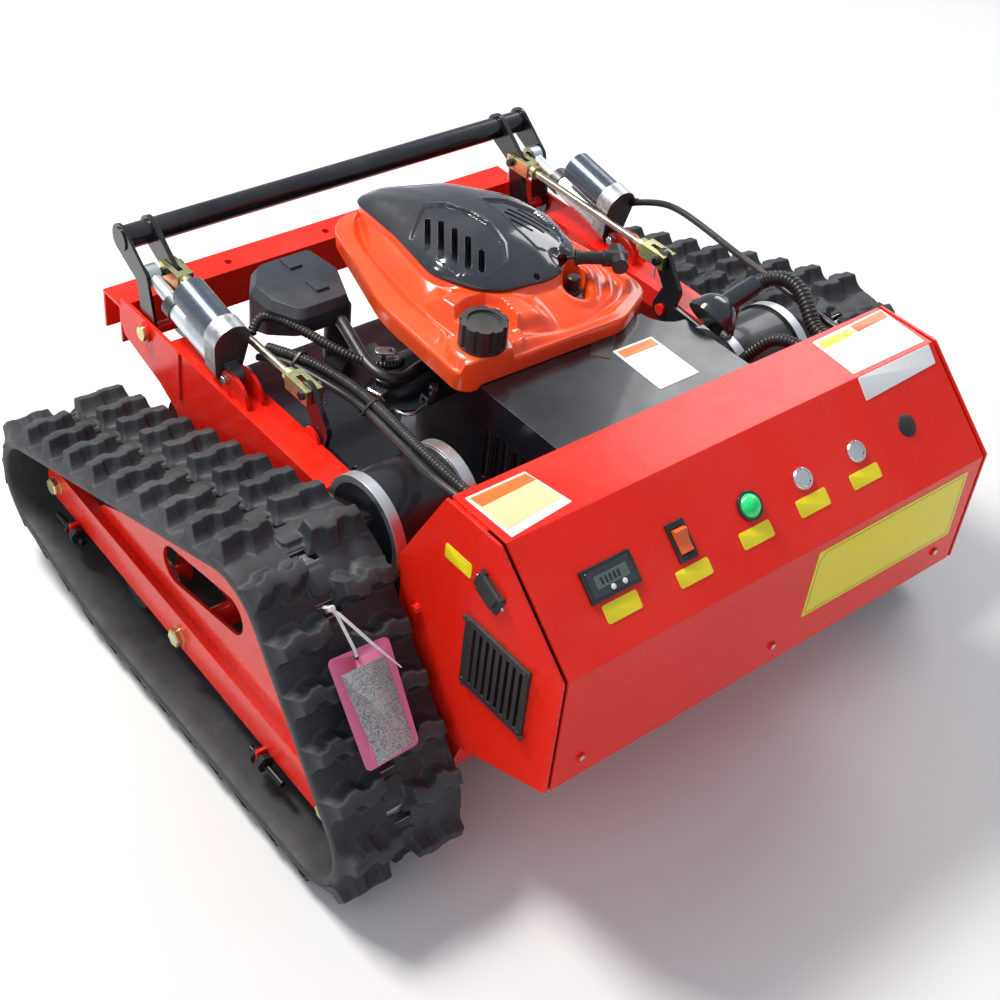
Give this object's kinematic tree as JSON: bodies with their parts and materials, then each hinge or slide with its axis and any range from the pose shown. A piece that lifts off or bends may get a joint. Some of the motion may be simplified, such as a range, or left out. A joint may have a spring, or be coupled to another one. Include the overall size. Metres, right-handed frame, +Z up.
{
  "type": "remote control slope mower",
  "caption": "Tracked slope mower with a mid-mounted engine and rotary deck, a hinged deck lift, rubber tracks on sprockets and idlers, and a sloping rear control box.",
  "frame": {"origin": "centre of the footprint on the ground, at the lowest lugs of the tracks", "axes": "+Z up, +Y forwards towards the lift bar, +X to the machine's right; the sloping control panel faces -Y"},
  "size_m": [0.91, 0.818, 0.467],
  "materials": {
    "red_paint": "glossy",
    "black_paint": "glossy",
    "rubber_track": "matt, moulded",
    "motor_black": "satin",
    "steel": "ground",
    "silver_tube": "satin",
    "actuator_grey": "metallic",
    "plastic_black": "matt",
    "plastic_gloss_black": "glossy",
    "plastic_red": "glossy",
    "engine_casting": "cast",
    "muffler_steel": "heat stained",
    "lamp_green": "clear lens",
    "rocker_orange": "glossy",
    "cable_sheath": "satin"
  },
  "bodies": {
    "chassis": {"frame_side_left": "red_paint", "frame_side_right": "red_paint", "front_crossbeam": "red_paint", "rear_crossmember": "red_paint", "control_box": "red_paint", "box_plates": "red_paint", "fan_grille": "plastic_black", "charging_inlet": "plastic_black", "battery_meter": "plastic_gloss_black", "rocker_bezel": "plastic_gloss_black", "fault_lamp": "steel", "lamp_lens": "lamp_green", "button_rings": "steel", "blanking_plug": "plastic_black", "drive_motor_left": "motor_black", "drive_motor_right": "motor_black", "track_frame_left": "red_paint", "track_frame_right": "red_paint", "track_belt_left": "rubber_track", "track_belt_right": "rubber_track", "work_lamp": "plastic_gloss_black", "conduits": "cable_sheath", "loom_left": "cable_sheath", "cable_left": "cable_sheath", "cable_right": "cable_sheath"},
    "mower_unit": {"cutting_deck": "red_paint", "engine_block": "engine_casting", "engine_shroud": "plastic_red", "shroud_cover": "plastic_gloss_black", "air_filter_case": "plastic_black", "carburettor": "engine_casting", "muffler": "muffler_steel", "muffler_guard": "black_paint"},
    "lift_arms": {"lift_arms": "black_paint"},
    "rear_crank_left": {"rear_crank_left": "black_paint"},
    "tie_rod_left": {"tie_rod_left": "steel"},
    "actuator_left": {"actuator_left": "actuator_grey"},
    "actuator_rod_left": {"actuator_rod_left": "silver_tube"},
    "sprocket_left": {"sprocket_left": "steel"},
    "front_idler_left": {"front_idler_left": "steel"},
    "rear_idler_left": {"rear_idler_left": "steel"},
    "roller_1_left": {"roller_1_left": "steel"},
    "roller_2_left": {"roller_2_left": "steel"},
    "rear_crank_right": {"rear_crank_right": "black_paint"},
    "tie_rod_right": {"tie_rod_right": "steel"},
    "actuator_right": {"actuator_right": "actuator_grey"},
    "actuator_rod_right": {"actuator_rod_right": "silver_tube"},
    "sprocket_right": {"sprocket_right": "steel"},
    "front_idler_right": {"front_idler_right": "steel"},
    "rear_idler_right": {"rear_idler_right": "steel"},
    "roller_1_right": {"roller_1_right": "steel"},
    "roller_2_right": {"roller_2_right": "steel"},
    "blade": {"blade": "steel"},
    "fuel_cap": {"fuel_cap": "plastic_black"},
    "starter_grip": {"starter_grip": "plastic_black"},
    "air_filter_cover": {"air_filter_cover": "plastic_black"},
    "charging_flap": {"charging_flap": "plastic_black"},
    "stop_rocker": {"stop_rocker": "rocker_orange"},
    "start_button": {"start_button": "steel"},
    "power_button": {"power_button": "steel"}
  },
  "joints": [
    {"name": "deck_lift", "type": "slide", "parent": "chassis", "child": "mower_unit", "axis": [0, 0, 1], "range_m": [-0.0173, 0.0207]},
    {"name": "lift_arms_pivot", "type": "hinge", "parent": "chassis", "child": "lift_arms", "pos_m": [0, 0.311, 0.29], "axis": [1, 0, 0], "range_deg": [-18, 15.1]},
    {"name": "rear_crank_pivot_left", "type": "hinge", "parent": "chassis", "child": "rear_crank_left", "pos_m": [-0.254, 0.036, 0.29], "axis": [1, 0, 0], "range_deg": [-18, 15.1]},
    {"name": "tie_rod_pivot_left", "type": "hinge", "parent": "lift_arms", "child": "tie_rod_left", "pos_m": [-0.254, 0.324, 0.353], "axis": [1, 0, 0], "range_deg": [-15.1, 18]},
    {"name": "actuator_pivot_left", "type": "hinge", "parent": "chassis", "child": "actuator_left", "pos_m": [-0.28, 0.15, 0.322], "axis": [1, 0, 0], "range_deg": [-2.6, 2.2]},
    {"name": "actuator_rod_slide_left", "type": "slide", "parent": "actuator_left", "child": "actuator_rod_left", "axis": [0, 0.9845, 0.1754], "range_m": [-0.0156, 0.0187]},
    {"name": "sprocket_spin_left", "type": "hinge", "parent": "chassis", "child": "sprocket_left", "pos_m": [-0.38, -0.106, 0.252], "axis": [1, 0, 0], "continuous": true},
    {"name": "front_idler_spin_left", "type": "hinge", "parent": "chassis", "child": "front_idler_left", "pos_m": [-0.38, 0.313, 0.119], "axis": [1, 0, 0], "continuous": true},
    {"name": "rear_idler_spin_left", "type": "hinge", "parent": "chassis", "child": "rear_idler_left", "pos_m": [-0.38, -0.236, 0.088], "axis": [1, 0, 0], "continuous": true},
    {"name": "roller_1_spin_left", "type": "hinge", "parent": "chassis", "child": "roller_1_left", "pos_m": [-0.38, 0.17, 0.056], "axis": [1, 0, 0], "continuous": true},
    {"name": "roller_2_spin_left", "type": "hinge", "parent": "chassis", "child": "roller_2_left", "pos_m": [-0.38, -0.026, 0.056], "axis": [1, 0, 0], "continuous": true},
    {"name": "rear_crank_pivot_right", "type": "hinge", "parent": "chassis", "child": "rear_crank_right", "pos_m": [0.254, 0.036, 0.29], "axis": [1, 0, 0], "range_deg": [-18, 15.1]},
    {"name": "tie_rod_pivot_right", "type": "hinge", "parent": "lift_arms", "child": "tie_rod_right", "pos_m": [0.254, 0.324, 0.353], "axis": [1, 0, 0], "range_deg": [-15.1, 18]},
    {"name": "actuator_pivot_right", "type": "hinge", "parent": "chassis", "child": "actuator_right", "pos_m": [0.28, 0.15, 0.322], "axis": [1, 0, 0], "range_deg": [-2.6, 2.2]},
    {"name": "actuator_rod_slide_right", "type": "slide", "parent": "actuator_right", "child": "actuator_rod_right", "axis": [0, 0.9845, 0.1754], "range_m": [-0.0156, 0.0187]},
    {"name": "sprocket_spin_right", "type": "hinge", "parent": "chassis", "child": "sprocket_right", "pos_m": [0.38, -0.106, 0.252], "axis": [1, 0, 0], "continuous": true},
    {"name": "front_idler_spin_right", "type": "hinge", "parent": "chassis", "child": "front_idler_right", "pos_m": [0.38, 0.313, 0.119], "axis": [1, 0, 0], "continuous": true},
    {"name": "rear_idler_spin_right", "type": "hinge", "parent": "chassis", "child": "rear_idler_right", "pos_m": [0.38, -0.236, 0.088], "axis": [1, 0, 0], "continuous": true},
    {"name": "roller_1_spin_right", "type": "hinge", "parent": "chassis", "child": "roller_1_right", "pos_m": [0.38, 0.17, 0.056], "axis": [1, 0, 0], "continuous": true},
    {"name": "roller_2_spin_right", "type": "hinge", "parent": "chassis", "child": "roller_2_right", "pos_m": [0.38, -0.026, 0.056], "axis": [1, 0, 0], "continuous": true},
    {"name": "blade_spin", "type": "hinge", "parent": "mower_unit", "child": "blade", "pos_m": [0, 0.066, 0.1], "axis": [0, 0, 1], "continuous": true},
    {"name": "fuel_cap_turn", "type": "hinge", "parent": "mower_unit", "child": "fuel_cap", "pos_m": [-0.12, -0.058, 0.444], "axis": [0, 0, 1], "range_deg": [0, 90]},
    {"name": "starter_grip_pull", "type": "slide", "parent": "mower_unit", "child": "starter_grip", "axis": [0.8229, -0.555, 0.1219], "range_m": [0, 0.45], "stiffness_N_per_m": 12, "springref_m": -0.5},
    {"name": "air_filter_cover_open", "type": "hinge", "parent": "mower_unit", "child": "air_filter_cover", "pos_m": [-0.15, 0.196, 0.312], "axis": [0, 1, 0], "range_deg": [-10, 0]},
    {"name": "charging_flap_open", "type": "hinge", "parent": "chassis", "child": "charging_flap", "pos_m": [-0.3045, -0.30686, 0.38319], "axis": [0, 0.9171, 0.3987], "range_deg": [0, 110], "stiffness_Nm_per_rad": 0.01, "springref_deg": -17.19},
    {"name": "stop_rocker_tilt", "type": "hinge", "parent": "chassis", "child": "stop_rocker", "pos_m": [-0.1192, -0.35718, 0.3856], "axis": [1, 0, 0], "range_deg": [-18, 0]},
    {"name": "start_button_press", "type": "slide", "parent": "chassis", "child": "start_button", "axis": [0, 0.6626, -0.749], "range_m": [0, 0.002], "stiffness_N_per_m": 800, "springref_m": -0.0015},
    {"name": "power_button_press", "type": "slide", "parent": "chassis", "child": "power_button", "axis": [0, 0.6626, -0.749], "range_m": [0, 0.002], "stiffness_N_per_m": 800, "springref_m": -0.0015}
  ],
  "couplings": [
    {"joint": "lift_arms_pivot", "follows": "deck_lift", "rad_per_m": -15.152},
    {"joint": "rear_crank_pivot_left", "follows": "deck_lift", "rad_per_m": -15.152},
    {"joint": "tie_rod_pivot_left", "follows": "deck_lift", "rad_per_m": 15.152},
    {"joint": "actuator_pivot_left", "follows": "deck_lift", "rad_per_m": -2.1439},
    {"joint": "actuator_rod_slide_left", "follows": "deck_lift", "ratio": 0.8968},
    {"joint": "front_idler_spin_left", "follows": "sprocket_spin_left", "ratio": 1.109},
    {"joint": "rear_idler_spin_left", "follows": "sprocket_spin_left", "ratio": 1.109},
    {"joint": "roller_1_spin_left", "follows": "sprocket_spin_left", "ratio": 2.292},
    {"joint": "roller_2_spin_left", "follows": "sprocket_spin_left", "ratio": 2.292},
    {"joint": "rear_crank_pivot_right", "follows": "deck_lift", "rad_per_m": -15.152},
    {"joint": "tie_rod_pivot_right", "follows": "deck_lift", "rad_per_m": 15.152},
    {"joint": "actuator_pivot_right", "follows": "deck_lift", "rad_per_m": -2.1439},
    {"joint": "actuator_rod_slide_right", "follows": "deck_lift", "ratio": 0.8968},
    {"joint": "front_idler_spin_right", "follows": "sprocket_spin_right", "ratio": 1.109},
    {"joint": "rear_idler_spin_right", "follows": "sprocket_spin_right", "ratio": 1.109},
    {"joint": "roller_1_spin_right", "follows": "sprocket_spin_right", "ratio": 2.292},
    {"joint": "roller_2_spin_right", "follows": "sprocket_spin_right", "ratio": 2.292}
  ]
}
